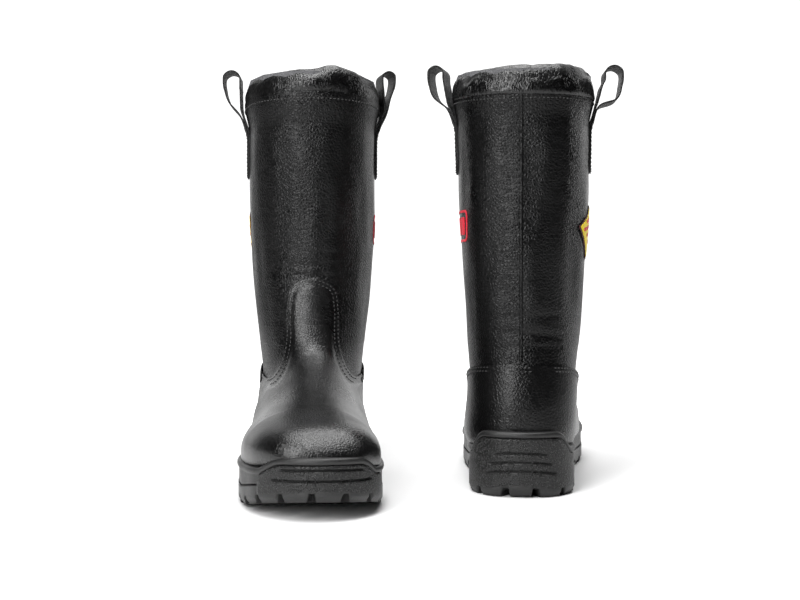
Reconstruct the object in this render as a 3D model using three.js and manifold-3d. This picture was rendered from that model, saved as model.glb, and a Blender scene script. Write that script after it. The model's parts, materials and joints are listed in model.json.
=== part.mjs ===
// A pair of pull-on leather fire boots, millimetres, +Z up.
//
// Each boot is built in its own frame: +Y towards the toe, +X towards the outer side of the foot, the origin
// on the floor under the middle of the leg. The left boot is the mirror image of the right one. The pair
// stands side by side, the right boot facing -Y and the left boot facing +Y.
//
// The upper is made of layers that follow one smooth last. A layer is what lies between two skins of that
// last, and a skin is named by its depth below the outer face of the leg leather, so a negative depth is
// outside the leg. Patterns that a cutter would use then split each layer into its pieces.

import * as THREE from "three";
import { mergeVertices } from "three/addons/utils/BufferGeometryUtils.js";
import Module from "manifold-3d";

const wasm = await Module();
wasm.setup();

// ---------------------------------------------------------------- driving dimensions

const legHeight = 333; // floor to the highest point of the collar
const legWidth = 105; // side to side, just under the collar
const legDepth = 130; // front to back, just under the collar
const ankleHeight = 108; // floor to the throat, where the leg meets the instep
const ankleWidth = 83;
const footLength = 286; // back of the heel to the tip of the toe, on the upper
const heelBack = -70; // the upper's rearmost point, measured from the leg's middle
const heelWidth = 77;
const ballWidth = 98;
const toeBoxWidth = 92;
const toeBoxHeight = 40; // above the top of the sole, over the steel cap

const soleWidthHeel = 82;
const soleWidthBall = 107;
const soleMargin = 8; // the sole past the upper, at the heel and the toe
const heelSoleHeight = 33; // floor to the seat of the upper
const ballSoleHeight = 24;
const heelBreast = 12; // how far the heel block stands below the waist
const toeSpring = 12;
const outsoleThickness = 9;
const rimRise = 6; // the sole's rim above the seat of the upper
const guardRise = 10; // how much higher the rim stands at the toe and the heel
const guardThickness = 3.2;
const rimBand = 5; // smooth band of midsole above each guard
const cleatDepth = 5;
const cleatGap = 5;

const legLeather = 2.2;
const overlayLeather = 2.0; // the vamp and the heel patch
const liningThickness = 3.0;
const plateThickness = 2.0;
const shankThickness = 2.0;
const footbedThickness = 5.0;
const lastingMargin = 15; // upper turned in under the foot
const overlap = 12; // leather lapped under a stitched edge
const play = 0.3; // clearance between neighbouring pieces

const collarHeight = 32;
const collarBulge = 4.3; // how far the padded collar stands out from the leg
const collarLeather = 1.8;
const collarFoam = 5.5;

const strapWidth = 25;
const strapThickness = 2.2;
const loopRise = 46; // from the stitched end to the top of the loop
const loopDrop = 45; // from the top of the leg down to the stitched end
const loopSpan = 16; // across the inside and both legs at the widest
const tabLength = 41;

const tongueWidth = 43;
const tongueHeight = 157; // floor to the top of the vamp's tongue
const counterHeight = 97; // floor to the top of the heel patch, at the back
const sideSeam = 12; // where the heel patch meets the vamp, along the foot
const sideHeight = 88; // floor to the top of the vamp at that seam
const counterSide = 81; // floor to the top of the heel patch at that seam
const capLength = 62; // steel toe cap, along the foot
const badgeThickness = 0.8;

const footSpacing = 173; // between the middles of the two legs
const stagger = 53; // how far the left leg stands nearer to -Y than the right one
const rightTurn = 4.1; // degrees, each foot turned a little, as a pair is put down
const leftTurn = -6.8;

const ringSides = 16; // facets round the leg and the foot

// ---------------------------------------------------------------- materials

function material(color, roughness, metalness = 0) {
  return new THREE.MeshStandardMaterial({ color, roughness, metalness });
}

const leather = material(0x141414, 0.42);
const lining = material(0x2b2b2d, 0.95);
const foam = material(0x4a4a4c, 0.95);
const rubber = material(0x1b1b1c, 0.72);
const midsoleRubber = material(0x202021, 0.6);
const webbing = material(0x222223, 0.9);
const steel = material(0x9a9da0, 0.35, 1);
const board = material(0x8a7a60, 0.9);
const badgeYellow = material(0xe6c81e, 0.45);
const markRed = material(0xb5202a, 0.5);

// ---------------------------------------------------------------- the last

// The leg and foot are cut by a fan of flat sections. Each runs from a point on the front line (shin, instep,
// top of the toes) to a point on the back line (calf, heel, underside of the foot), given as [y, z].
// outer and inner are half widths, widest is where along the section they are reached (-1 back, +1 front),
// and frontCurve and backCurve are how square the section's two ends are (2 is an ellipse).
const along = (share) => heelBack + share * footLength;
const up = (share) => ankleHeight + share * (legHeight - ankleHeight);
const seat = (share) => ballSoleHeight + share * (heelSoleHeight - ballSoleHeight);
const crown = (share) => ballSoleHeight + share * toeBoxHeight;
const legFront = legDepth / 2 + 1;
const legBack = -legDepth / 2 + 1;
const ankleBack = heelBack + 9;
const tip = [along(1), seat(0) + 13];

const stations = [
  { front: [legFront, up(1)], back: [legBack, up(0.97)], outer: legWidth / 2, inner: legWidth / 2,
    widest: 0, frontCurve: 2.2, backCurve: 2.2 },
  { front: [legFront, up(1) - collarHeight], back: [legBack, up(0.97) - collarHeight],
    outer: legWidth / 2, inner: legWidth / 2, widest: 0, frontCurve: 2.2, backCurve: 2.2 },
  { front: [legFront - 2, up(0.64)], back: [legBack + 2, up(0.63)], outer: legWidth / 2 - 0.5,
    inner: legWidth / 2 - 0.5, widest: 0, frontCurve: 2.15, backCurve: 2.15 },
  { front: [legFront - 6, up(0.44)], back: [legBack + 3, up(0.41)], outer: legWidth / 2 - 1.2,
    inner: legWidth / 2 - 1.2, widest: 0, frontCurve: 2.1, backCurve: 2.1 },
  { front: [legFront - 8, up(0.26)], back: [legBack + 4, up(0.19)], outer: legWidth / 2 - 4,
    inner: legWidth / 2 - 4, widest: 0, frontCurve: 2.1, backCurve: 2.1 },
  { front: [legFront - 6, up(0.1)], back: [ankleBack, up(0)], outer: ankleWidth / 2 + 3.5,
    inner: ankleWidth / 2 + 3.5, widest: 0, frontCurve: 2.1, backCurve: 2.1 },
  { front: [legFront + 2, up(0)], back: [heelBack + 1, up(0) - 46], outer: ankleWidth / 2,
    inner: ankleWidth / 2, widest: -0.1, frontCurve: 2.1, backCurve: 2.3 },
  { front: [along(0.54), up(0) - 12], back: [along(0.035), seat(0.9)], outer: heelWidth / 2 + 5,
    inner: heelWidth / 2 + 2, widest: -0.2, frontCurve: 2.0, backCurve: 2.8 },
  { front: [along(0.61), up(0) - 22], back: [along(0.2), seat(0.7)], outer: heelWidth / 2 + 7.5,
    inner: heelWidth / 2 + 3, widest: -0.35, frontCurve: 1.9, backCurve: 3.2 },
  { front: [along(0.695), crown(1.3)], back: [along(0.42), seat(0.35)], outer: ballWidth / 2 - 1.5,
    inner: ballWidth / 2 - 5.5, widest: -0.45, frontCurve: 1.9, backCurve: 3.6 },
  { front: [along(0.785), crown(1.14)], back: [along(0.61), seat(0)], outer: ballWidth / 2 + 2.5,
    inner: ballWidth / 2 - 3, widest: -0.55, frontCurve: 2.1, backCurve: 3.8 },
  { front: [along(0.868), crown(1)], back: [along(0.768), seat(0) + 1], outer: toeBoxWidth / 2 + 1.5,
    inner: toeBoxWidth / 2, widest: -0.5, frontCurve: 2.3, backCurve: 3.6 },
  { front: [along(0.945), crown(0.84)], back: [along(0.885), seat(0) + 5], outer: toeBoxWidth / 2 - 7,
    inner: toeBoxWidth / 2 - 4, widest: -0.4, frontCurve: 2.4, backCurve: 3.2 },
  { front: [along(0.988), crown(0.56)], back: [along(0.965), seat(0) + 9], outer: 22, inner: 27,
    widest: -0.1, frontCurve: 2.3, backCurve: 2.6 },
  { front: tip, back: tip, outer: 0, inner: 0, widest: 0, frontCurve: 2, backCurve: 2 },
];
const lastStation = stations.length - 1;
const collarStation = 1; // the seam under the collar
const tipShift = -4; // the toe points a little towards the inner side

// The stations where every skin has a ring of corners. All the layers share them, so that two facets that
// lie on each other stay parallel and keep their clearance.
const rungs = [0.25, 0.5, 0.75, collarStation, 2.3, 3.4, 4.5, 5.5, 6.3, 7, 8, 9, 10, 11, 12, 12.8, 13.6];

function track(read) {
  const points = stations.map((station) => new THREE.Vector3(...read(station)));
  return new THREE.CatmullRomCurve3(points, false, "catmullrom", 0.5);
}

const frontTrack = track((s) => [0, ...s.front]);
const backTrack = track((s) => [0, ...s.back]);
const widthTrack = track((s) => [s.outer, s.inner, s.widest]);
const curveTrack = track((s) => [s.frontCurve, s.backCurve, 0]);

// The two lines' outward normals turn to straight ahead over the last stretch, where the skin closes.
function outward(line, share, side) {
  const tangent = line.getTangent(Math.min(share, 0.999));
  const normal = new THREE.Vector3(0, -tangent.z * side, tangent.y * side);
  const ahead = THREE.MathUtils.smoothstep(share * lastStation, lastStation - 2, lastStation);
  return normal.lerp(new THREE.Vector3(0, 1, 0), ahead).normalize();
}

// The point of a skin at a station (0 is the top of the leg), an angle (0 is the front) and a depth.
function skinPoint(station, angle, depth) {
  const share = THREE.MathUtils.clamp(station / lastStation, 0, 1);
  const front = frontTrack.getPoint(share).addScaledVector(outward(frontTrack, share, 1), -depth);
  const back = backTrack.getPoint(share).addScaledVector(outward(backTrack, share, -1), -depth);
  const widths = widthTrack.getPoint(share);
  const curves = curveTrack.getPoint(share);
  const cos = Math.cos(angle);
  const sin = Math.sin(angle);
  const power = cos >= 0 ? curves.x : curves.y;
  const radius = (Math.abs(cos) ** power + Math.abs(sin) ** power) ** (-1 / power);
  const half = Math.max(0, sin >= 0 ? widths.x : widths.y);
  const width = half - depth * Math.min(1, half / 25);
  const level = widths.z + (cos >= 0 ? 1 - widths.z : 1 + widths.z) * radius * cos;
  const middle = front.clone().add(back).multiplyScalar(0.5);
  const point = middle.addScaledVector(front.clone().sub(back), level / 2);
  point.x = width * radius * sin + tipShift * THREE.MathUtils.smoothstep(share, 0.75, 1);
  return point;
}

// ---------------------------------------------------------------- solids

// A closed geometry as a solid that can be joined and cut.
function solidOf(geometry) {
  const bare = geometry.clone();
  bare.deleteAttribute("normal");
  bare.deleteAttribute("uv");
  const merged = mergeVertices(bare, 1e-3);
  const corners = [];
  for (let i = 0; i < merged.index.count; i += 3) {
    const [a, b, c] = [0, 1, 2].map((k) => merged.index.getX(i + k));
    if (a !== b && b !== c && a !== c) corners.push(a, b, c);
  }
  return new wasm.Manifold(
    new wasm.Mesh({
      numProp: 3,
      vertProperties: merged.attributes.position.array,
      triVerts: new Uint32Array(corners),
    }),
  );
}

function geometryOf(solid) {
  const mesh = solid.getMesh();
  const geometry = new THREE.BufferGeometry();
  geometry.setAttribute("position", new THREE.BufferAttribute(mesh.vertProperties, 3));
  geometry.setIndex(new THREE.BufferAttribute(mesh.triVerts, 1));
  return geometry;
}

// Everything inside one skin between two stations. depth is a number, or a function of the station.
// lift carries the first ring straight up, so that a skin cut from another one leaves its top open.
function inside(depth, from, to, lift = 0) {
  const depthAt = typeof depth === "number" ? () => depth : depth;
  const rings = [from, ...rungs.filter((rung) => rung > from + 0.1 && rung < to - 0.1), to];
  const rows = rings.length - 1;
  const tube = new THREE.CylinderGeometry(1, 1, 1, ringSides, rows);
  const position = tube.attributes.position;
  for (let i = 0; i < position.count; i++) {
    const [x, y, z] = [position.getX(i), position.getY(i), position.getZ(i)];
    const station = rings[Math.round((0.5 - y) * rows)];
    const point = skinPoint(station, -Math.atan2(x, z), depthAt(station));
    if (Math.hypot(x, z) < 0.5) {
      point.copy(skinPoint(station, 0, depthAt(station)));
      point.add(skinPoint(station, Math.PI, depthAt(station))).multiplyScalar(0.5);
    }
    if (y > 0.499) point.z += lift;
    position.setXYZ(i, point.x, point.y, point.z);
  }
  return solidOf(tube);
}

function layer(outerDepth, innerDepth, from, to) {
  return inside(outerDepth, from, to).subtract(inside(innerDepth, from, to, 6));
}

// A flat outline of [a, b] points, run along X, Y or Z from low to high. Across X it is drawn in Y and Z,
// across Y in X and Z, and across Z in X and Y.
function prism(points, axis, low, high) {
  const shape = new THREE.Shape(points.map(([a, b]) => new THREE.Vector2(a, b)));
  const geometry = new THREE.ExtrudeGeometry(shape, { depth: high - low, bevelEnabled: false, steps: 1 });
  geometry.translate(0, 0, axis === "y" ? -high : low);
  if (axis !== "z") geometry.rotateX(Math.PI / 2);
  if (axis === "x") geometry.rotateZ(Math.PI / 2);
  return solidOf(geometry);
}

function block(x0, x1, y0, y1, z0, z1) {
  const geometry = new THREE.BoxGeometry(x1 - x0, y1 - y0, z1 - z0);
  return solidOf(geometry.translate((x0 + x1) / 2, (y0 + y1) / 2, (z0 + z1) / 2));
}

// A smooth line through [a, b] points, as a list of points.
function smooth(points, perSpan, closed = false) {
  const curve = new THREE.CatmullRomCurve3(points.map(([a, b]) => new THREE.Vector3(a, b, 0)), closed);
  const count = perSpan * (closed ? points.length : points.length - 1);
  const made = curve.getPoints(count).map((p) => [p.x, p.y]);
  return closed ? made.slice(0, -1) : made;
}

// A line of [a, b] points moved to the left of the way it runs.
function offset(points, distance, closed = false) {
  const last = points.length - 1;
  return points.map(([a, b], i) => {
    const [a0, b0] = points[i > 0 ? i - 1 : closed ? last : 0];
    const [a1, b1] = points[i < last ? i + 1 : closed ? 0 : last];
    const length = Math.hypot(a1 - a0, b1 - b0);
    return [a - (distance * (b1 - b0)) / length, b + (distance * (a1 - a0)) / length];
  });
}

// ---------------------------------------------------------------- patterns

// The vamp's edge seen from the front: up from the side seam, round the tongue and down again.
function vampEdge(inset) {
  const half = tongueWidth / 2;
  const flare = ankleWidth / 2;
  const side = [[flare + 6, sideHeight + 1], [flare - 1, sideHeight - 5], [flare - 9, sideHeight - 2],
    [half + 4, sideHeight + 10], [half + 0.5, sideHeight + 27], [half, tongueHeight - 21],
    [half - 4.5, tongueHeight - 6]];
  const mirrored = side.map(([x, z]) => [-x, z]).reverse();
  return offset(smooth([...side, [0, tongueHeight], ...mirrored], 2), inset);
}

// Everything below that edge, in front of a plane across the foot.
function vampPattern(inset, from) {
  const edge = vampEdge(inset);
  const reach = soleWidthBall;
  const level = edge[0][1];
  const outline = [[reach, -reach], [reach, level], ...edge, [-reach, level], [-reach, -reach]];
  return prism(outline, "y", from, along(1) + soleMargin * 2);
}

// Everything below the heel patch's top edge, behind a plane across the foot.
function counterPattern(inset, to) {
  const edge = [[to, counterSide - inset], [-25, counterHeight - 6 - inset], [-50, counterHeight - inset]];
  const back = heelBack - soleMargin * 2;
  const outline = [[back, -20], [to, -20], ...smooth(edge, 3), [back, counterHeight + 1 - inset]];
  return prism(outline, "x", -soleWidthBall, soleWidthBall);
}

// ---------------------------------------------------------------- the sole's outline and profile

const heelHalf = soleWidthHeel / 2;
const ballOuter = soleWidthBall / 2 + 2;
const ballInner = soleWidthBall / 2 - 2;
const soleBack = heelBack - soleMargin;
const soleTip = along(1) + soleMargin;

const soleCorners = [
  [0, soleBack], [heelHalf * 0.66, soleBack + 9], [heelHalf, soleBack + 36], [heelHalf + 1, along(0.26)],
  [ballOuter - 8, along(0.42)], [ballOuter, along(0.6)], [ballOuter - 1, along(0.75)],
  [ballOuter * 0.78, along(0.9)], [ballOuter * 0.36, soleTip - 9], [tipShift - 2, soleTip],
  [-ballInner * 0.64, soleTip - 10], [-ballInner * 0.94, along(0.88)], [-ballInner, along(0.7)],
  [-ballInner + 8, along(0.52)], [-heelHalf + 4, along(0.36)], [-heelHalf + 2, along(0.22)],
  [-heelHalf, soleBack + 36], [-heelHalf * 0.66, soleBack + 9],
];

function soleOutline(inset) {
  return offset(smooth(soleCorners, 3, true), inset, true);
}

const ground = [
  [soleBack - 5, 6], [soleBack + 6, 0], [along(0.26), 0], [along(0.27), heelBreast],
  [along(0.4), heelBreast * 0.8], [along(0.46), 0], [along(0.74), 0], [along(0.84), toeSpring * 0.2],
  [along(0.93), toeSpring * 0.6], [soleTip + 2, toeSpring],
];
const split = [
  [soleBack - 5, heelBreast + outsoleThickness], [along(0.27), heelBreast + outsoleThickness],
  [along(0.46), outsoleThickness + 1], [along(0.78), outsoleThickness],
  [along(0.92), outsoleThickness + toeSpring * 0.5], [soleTip + 2, outsoleThickness + toeSpring],
];
const heelRim = heelSoleHeight + rimRise + guardRise;
const toeRim = ballSoleHeight + rimRise + guardRise + 2;
const rim = [
  [soleBack - 5, heelRim], [soleBack + 13, heelRim], [soleBack + 24, heelSoleHeight + rimRise - 3],
  [along(0.26), heelSoleHeight + rimRise - 4], [along(0.46), ballSoleHeight + rimRise + 1],
  [along(0.6), ballSoleHeight + rimRise], [along(0.78), ballSoleHeight + rimRise + 1],
  [along(0.875), ballSoleHeight + rimRise + 2], [along(0.925), toeRim], [soleTip + 2, toeRim + 1],
];

// The slice of the sole between two profile lines, each a list of [y, z] from the heel to the toe.
function slice(low, high) {
  return prism([...low, ...[...high].reverse()], "x", -soleWidthBall, soleWidthBall);
}

const raised = (line, by) => line.map(([y, z]) => [y, z + by]);

function solePlan(inset) {
  return prism(soleOutline(inset), "z", -10, heelRim + 20);
}

// Where the outsole stands up in front of the midsole: a wall at the toe and one at the heel.
function guardZone(grow) {
  const toeStart = along(0.885) - grow;
  const heelEnd = soleBack + 21 + grow;
  const toe = block(-soleWidthBall, soleWidthBall, toeStart, soleTip + 20, -10, heelRim);
  return toe.add(block(-soleWidthBall, soleWidthBall, soleBack - 20, heelEnd, -10, heelRim));
}

// A shallow groove round the face of a guard, drawn as a slice of the sole's outer skin.
function guardGroove(level, halfWidth, atToe) {
  const skin = solePlan(-2).subtract(solePlan(grooveDepth));
  const middle = atToe ? soleTip : soleBack;
  const reach = 60;
  const zone = block(-halfWidth, halfWidth, middle - reach, middle + reach, level, level + grooveWidth);
  return skin.intersect(zone);
}

const grooveDepth = 1.4;
const grooveWidth = 1.5;

// Gaps between the cleats: cut in from the edge all the way round, but not through the raised waist.
function cleatGaps() {
  const outline = soleOutline(0);
  const pitch = 25;
  const depth = 17;
  const cutters = [];
  let walked = pitch / 2;
  outline.forEach(([x, y], i) => {
    const [nx, ny] = outline[(i + 1) % outline.length];
    const length = Math.hypot(nx - x, ny - y);
    walked += length;
    const inWaist = y > along(0.2) && y < along(0.5);
    if (walked < pitch || inWaist) return;
    walked = 0;
    const gap = new THREE.BoxGeometry(cleatGap, depth * 2, cleatDepth * 2);
    gap.rotateZ(Math.atan2(ny - y, nx - x));
    const lift = Math.max(0, (y - along(0.74)) / (soleTip - along(0.74))) ** 1.6 * toeSpring;
    cutters.push(solidOf(gap.translate((x + nx) / 2, (y + ny) / 2, lift)));
  });
  for (const share of [0.08, 0.17, 0.54, 0.62, 0.7, 0.78]) {
    const wide = share < 0.3 ? heelHalf - 22 : ballInner - 24;
    const y = along(share);
    cutters.push(block(-wide, wide, y - cleatGap / 2, y + cleatGap / 2, -cleatDepth, cleatDepth));
  }
  return cutters;
}

// ---------------------------------------------------------------- one boot

const legTop = collarStation; // the leg leather ends where the collar starts
const overlayTop = 3.2; // the overlays start well below this station
const overlayDepth = -play;
const overlayFace = -play - overlayLeather;
const liningDepth = legLeather + play;
const liningFace = liningDepth + liningThickness;
const footbedDepth = liningFace + play;
const soleClear = overlayFace - play;
const marginPlan = soleMargin + lastingMargin;

function upperPieces() {
  const core = layer(0, legLeather, legTop, lastStation);
  const overlay = layer(overlayFace, overlayDepth, overlayTop, lastStation);
  const underFoot = (inset) => prism(soleOutline(inset), "z", -10, heelSoleHeight + 12);
  const openBottom = (solid) => solid.subtract(underFoot(marginPlan));
  const frontOf = (y) => block(-200, 200, y, 400, -50, 400);
  const behind = (y) => block(-200, 200, -400, y, -50, 400);
  const capStart = along(1) - capLength;
  const stripWidth = 6;

  const leg = core.subtract(vampPattern(overlap, 0)).subtract(counterPattern(overlap, 0.1));
  const front = openBottom(core.intersect(vampPattern(overlap + play, 0.2)));
  const heel = openBottom(core.intersect(counterPattern(overlap + play, -play)));
  const backStrip = layer(-1.5, -play, legTop + 0.1, 6).intersect(
    block(-1.6, 1.6, -200, 0, counterHeight + overlap - 8, 400),
  );
  return {
    leg_leather: leg,
    vamp: openBottom(overlay.intersect(vampPattern(0, sideSeam + play))),
    heel_patch: openBottom(overlay.intersect(counterPattern(0, sideSeam))),
    vamp_interlining: front.intersect(behind(capStart - stripWidth - play)),
    toe_cap_edge_strip: front.intersect(frontOf(capStart - stripWidth)).intersect(behind(capStart - play)),
    steel_toe_cap: front.intersect(frontOf(capStart)),
    heel_stiffener: heel,
    back_seam_welt: backStrip.subtract(counterPattern(-play, sideSeam)),
    insole_board: core.intersect(underFoot(marginPlan + play)),
    puncture_plate: overlay.intersect(underFoot(marginPlan + play)),
    shank: shankAt(overlayFace - play - shankThickness, overlayFace - play, 0),
    lining: inside(liningDepth, legTop, lastStation).subtract(
      inside(liningFace, legTop, lastStation, 6),
    ),
    footbed: footbed(),
  };
}

// The shank is a strip under the plate, from the heel to the ball. grow opens the pocket that holds it.
function shankAt(outerDepth, innerDepth, grow) {
  const strip = layer(outerDepth, innerDepth, 6, 11);
  const half = 9 + grow;
  return strip.intersect(block(-half, half, heelBack + 28 - grow, along(0.5) + grow, -10, heelSoleHeight));
}

function footbed() {
  const space = inside(footbedDepth, 4, lastStation);
  const low = block(-200, 200, -200, along(0.9), -10, heelSoleHeight + 15);
  return space.subtract(space.translate([0, 0, footbedThickness])).intersect(low);
}

function collarPieces() {
  const share = (station) => THREE.MathUtils.clamp(station / collarStation, 0, 1);
  const swell = (station) => Math.sin(Math.PI * Math.min(1, 0.16 + 0.8 * share(station))) * collarBulge;
  const face = (station) => -Math.max(play + collarLeather, swell(station));
  const behindFace = (station) => face(station) + collarLeather;
  const innerFace = liningFace + play + collarLeather;
  const top = 0.02;
  const foamTop = 0.09 + collarLeather / 60;
  const outer = inside(face, top, collarStation);
  const hollow = inside(behindFace, foamTop, collarStation + 0.2);
  const wall = inside(liningFace + play, foamTop - 0.02, collarStation + 0.4, 20);
  const mouth = inside(innerFace, top, collarStation + 0.3, 20);
  const foamOuter = inside((s) => behindFace(s) + play, foamTop + 0.03, collarStation - 0.02);
  const foamInner = inside(liningFace - play, foamTop - 0.1, collarStation + 0.2, 20);
  return {
    collar_cover: outer.subtract(hollow.subtract(wall)).subtract(mouth),
    collar_foam: foamOuter.subtract(foamInner),
  };
}

function solePieces(shankPocket) {
  const plan = solePlan(0);
  const foot = inside(soleClear, overlayTop, lastStation);
  const guards = guardZone(0).intersect(solePlan(0)).subtract(solePlan(guardThickness));
  const wall = guards.intersect(slice(raised(split, -0.5), raised(rim, -rimBand)));
  let outsole = plan.intersect(slice(ground, split)).add(wall);
  for (const cutter of cleatGaps()) outsole = outsole.subtract(cutter);
  const grooves = [
    [toeRim - rimBand - 6, 31, true], [toeRim - rimBand - 12, 36, true],
    [heelRim - 17, 21, false], [heelRim - 24, 25, false], [heelRim - 31, 28, false],
  ];
  for (const [level, half, atToe] of grooves) outsole = outsole.subtract(guardGroove(level, half, atToe));

  const guardSpace = guardZone(play).subtract(solePlan(guardThickness + play));
  const midsole = plan
    .intersect(slice(raised(split, play), rim))
    .subtract(guardSpace.intersect(slice(raised(ground, -5), raised(rim, play - rimBand))))
    .subtract(foot)
    .subtract(shankPocket);
  return { outsole: outsole.subtract(foot), midsole };
}

// A strap folded into a standing loop. Its two ends lie on each other in the tab, which is sewn to the leg.
function strapPieces() {
  const tabTop = legHeight - loopDrop;
  const seam = up(1) - collarHeight;
  const station = 1 + (seam - tabTop) / (seam - up(0.64));
  const seatX = skinPoint(station, Math.PI / 2, 0).x + play;
  const tabThickness = strapThickness * 2;
  const low = tabTop - tabLength;
  const half = strapWidth / 2;
  const end = Array.from({ length: 7 }, (_, i) => {
    const turn = Math.PI + (Math.PI * i) / 6;
    return [Math.cos(turn) * half, low + half + Math.sin(turn) * half];
  });
  const outline = [...end, [half, tabTop - play], [-half, tabTop - play]];
  const tab = layer(-play - tabThickness, -play, 1, 4).intersect(prism(outline, "x", 0, 200));

  const foot = [seatX + 0.4, tabTop];
  const bend = loopSpan / 2;
  const clear = seatX + collarBulge + 5 * play; // the inner leg passes the collar here
  const centre = [clear + bend, tabTop + loopRise - bend];
  const arc = (radius, from, to, steps) =>
    Array.from({ length: steps + 1 }, (_, i) => {
      const turn = from + ((to - from) * i) / steps;
      return [centre[0] + Math.cos(turn) * radius, centre[1] + Math.sin(turn) * radius];
    });
  const outer = [foot, [foot[0] + 2.1, tabTop + 13], ...arc(bend, Math.PI * 1.06, -0.2, 10),
    [foot[0] + tabThickness, tabTop]];
  const holeFoot = [foot[0] + strapThickness + 0.9, tabTop + 6];
  const hole = [holeFoot, ...arc(bend - strapThickness, -0.25, Math.PI * 1.04, 8)];
  const shape = new THREE.Shape(outer.map(([x, z]) => new THREE.Vector2(x, z)));
  shape.holes.push(new THREE.Path(hole.map(([x, z]) => new THREE.Vector2(x, z))));
  const band = new THREE.ExtrudeGeometry(shape, { depth: strapWidth, bevelEnabled: false });
  band.rotateX(Math.PI / 2).translate(0, half, 0);
  return { tab, loop: solidOf(band), hinge: [foot[0] + tabThickness, 0, tabTop] };
}

// A kite-shaped badge on one side of the leg and a rounded print on the other.
function badge() {
  const [top, corner, bottom, half] = [219, 205, 177, 27];
  const outline = [[0, bottom], [half, corner], [0, top], [-half, corner]].map(([y, z]) => [y - 3, z]);
  return layer(-play - badgeThickness, -play, 2, 5).intersect(prism(outline, "x", 0, 200));
}

function sideMark() {
  const [width, height, middle, corner] = [42, 20, 206, 6];
  const outline = [];
  for (const [sy, sz, start] of [[1, 1, 0], [-1, 1, 1], [-1, -1, 2], [1, -1, 3]])
    for (const step of [0, 0.5, 1]) {
      const turn = ((start + step) * Math.PI) / 2;
      outline.push([
        sy * (width / 2 - corner) + Math.cos(turn) * corner - 6,
        middle + sz * (height / 2 - corner) + Math.sin(turn) * corner,
      ]);
    }
  return layer(-play - badgeThickness / 2, -play, 2, 5).intersect(prism(outline, "x", 0, 200));
}

// ---------------------------------------------------------------- the pair

const pocket = shankAt(overlayFace - 2 * play - shankThickness, overlayDepth, play);
const strap = strapPieces();
const pieces = {
  ...upperPieces(),
  ...collarPieces(),
  ...solePieces(pocket),
  strap_tab: strap.tab,
  pull_loop: strap.loop,
  badge: badge(),
  side_mark: sideMark(),
};

const finishes = {
  outsole: rubber, midsole: midsoleRubber, puncture_plate: steel, shank: steel, steel_toe_cap: steel,
  insole_board: board, footbed: lining, lining, vamp_interlining: lining, toe_cap_edge_strip: foam,
  collar_foam: foam, heel_stiffener: board, strap_tab: webbing, pull_loop: webbing, badge: badgeYellow,
  side_mark: markRed,
};
const onBothSides = ["strap_tab", "pull_loop"];

function boot(name, mirrored) {
  const group = new THREE.Group();
  const addMesh = (node, key, flip) => {
    const mesh = new THREE.Mesh(geometryOf(pieces[key]), finishes[key] ?? leather);
    mesh.name = `${name}_${node}`;
    if (flip) mesh.scale.x = -1;
    group.add(mesh);
  };
  for (const key of Object.keys(pieces)) {
    if (onBothSides.includes(key)) {
      addMesh(`outer_${key}`, key, false);
      addMesh(`inner_${key}`, key, true);
    } else {
      // The badge is on the wearer's right side of both boots and the print on the left side.
      const flip = (key === "badge" && mirrored) || (key === "side_mark" && !mirrored);
      addMesh(key, key, flip);
    }
  }
  if (mirrored) group.scale.x = -1;
  return group;
}

const right = boot("right", false);
right.position.set(-footSpacing / 2, stagger / 2, 0);
right.rotation.z = Math.PI + THREE.MathUtils.degToRad(rightTurn);

const left = boot("left", true);
left.position.set(footSpacing / 2, -stagger / 2, 0);
left.rotation.z = THREE.MathUtils.degToRad(leftTurn);

const pair = new THREE.Group();
pair.add(right, left);

// The pair's origin is on the floor, under the middle of its box.
pair.updateMatrixWorld(true);
const box = new THREE.Box3().setFromObject(pair, true);
const middle = box.getCenter(new THREE.Vector3());
for (const one of [right, left]) one.position.sub(new THREE.Vector3(middle.x, middle.y, box.min.z));

export default pair;
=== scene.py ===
# %% [markdown]
# # A pair of leather fire boots
# These boots are pulled on by two loops and have no laces. Each has a padded collar, a leg of one piece of
# pebbled leather, a vamp whose tongue runs up the shin, a patch round the heel and a thick cleated sole.
# We load the solids first, because every piece that we model takes its place from them.

import functools
import json
import math

import bmesh
import bpy
from mathutils import Matrix, Vector, noise
from mathutils.bvhtree import BVHTree
from mathutils.kdtree import KDTree


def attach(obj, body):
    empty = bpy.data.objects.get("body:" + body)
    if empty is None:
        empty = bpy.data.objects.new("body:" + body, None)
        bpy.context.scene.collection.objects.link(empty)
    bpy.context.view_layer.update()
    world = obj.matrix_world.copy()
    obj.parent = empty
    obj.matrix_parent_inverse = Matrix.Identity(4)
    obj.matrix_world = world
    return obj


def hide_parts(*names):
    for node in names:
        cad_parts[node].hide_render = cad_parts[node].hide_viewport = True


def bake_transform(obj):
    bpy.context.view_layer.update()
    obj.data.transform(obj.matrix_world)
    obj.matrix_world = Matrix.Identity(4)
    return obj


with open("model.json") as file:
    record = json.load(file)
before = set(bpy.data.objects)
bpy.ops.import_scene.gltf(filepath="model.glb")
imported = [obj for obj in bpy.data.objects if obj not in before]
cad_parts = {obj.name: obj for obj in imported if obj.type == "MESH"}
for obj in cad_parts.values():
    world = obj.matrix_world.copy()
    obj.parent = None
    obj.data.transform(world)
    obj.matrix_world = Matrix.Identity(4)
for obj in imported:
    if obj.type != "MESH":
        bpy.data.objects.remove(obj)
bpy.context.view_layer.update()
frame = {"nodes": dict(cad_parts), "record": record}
record = frame["record"]
FEET = ("right", "left")

# %% [markdown]
# The two boots are mirror images, so each piece is shaped once in the boot's own frame: x to the outer side
# of the foot, y to the toe, z up, in millimetres, with the leg's middle at the origin. The hinges of a boot's
# two loops sit either side of the leg, so they tell us where the boot stands and how far it is turned. For
# the left boot the frame is a mirror, and its faces are turned round when a piece is put in place.

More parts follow.
